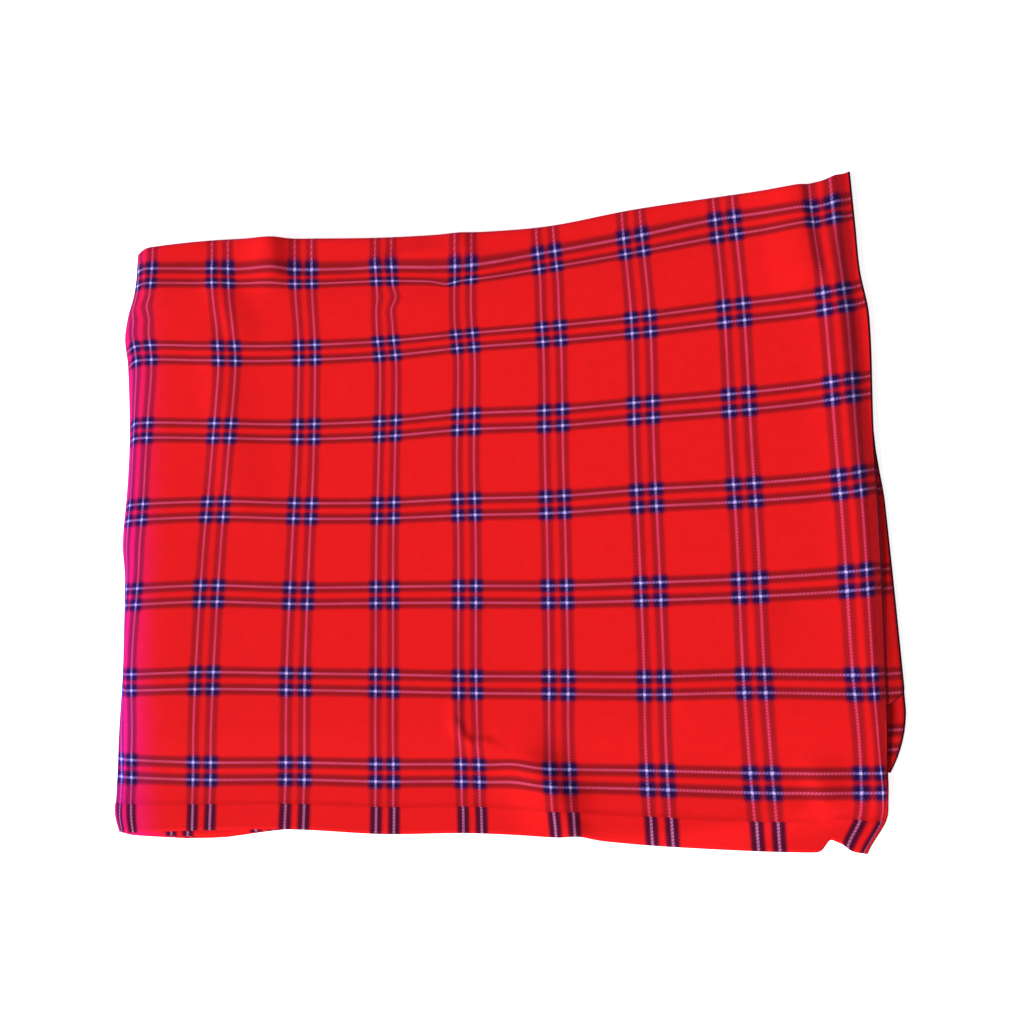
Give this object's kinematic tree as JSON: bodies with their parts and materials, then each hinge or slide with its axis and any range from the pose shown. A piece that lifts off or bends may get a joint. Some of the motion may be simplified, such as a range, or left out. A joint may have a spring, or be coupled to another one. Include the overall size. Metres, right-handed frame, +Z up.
{
  "type": "folded shuka blanket",
  "caption": "Checked woven shuka blanket with turned hems, folded in four into a flat, slightly uneven stack of layers that rests on a level surface.",
  "frame": {"origin": "centre of the footprint, on the surface that the folded blanket rests on", "axes": "+X along the weft, the long side, towards the open selvages; +Y towards the folded top edge; +Z up through the layers"},
  "size_m": [0.925, 0.7612, 0.0215],
  "materials": {
    "checked_cloth": "soft brushed twill, bright red with pairs of dark red and navy stripes"
  },
  "bodies": {
    "root": {"blanket": "checked_cloth"}
  },
  "joints": []
}
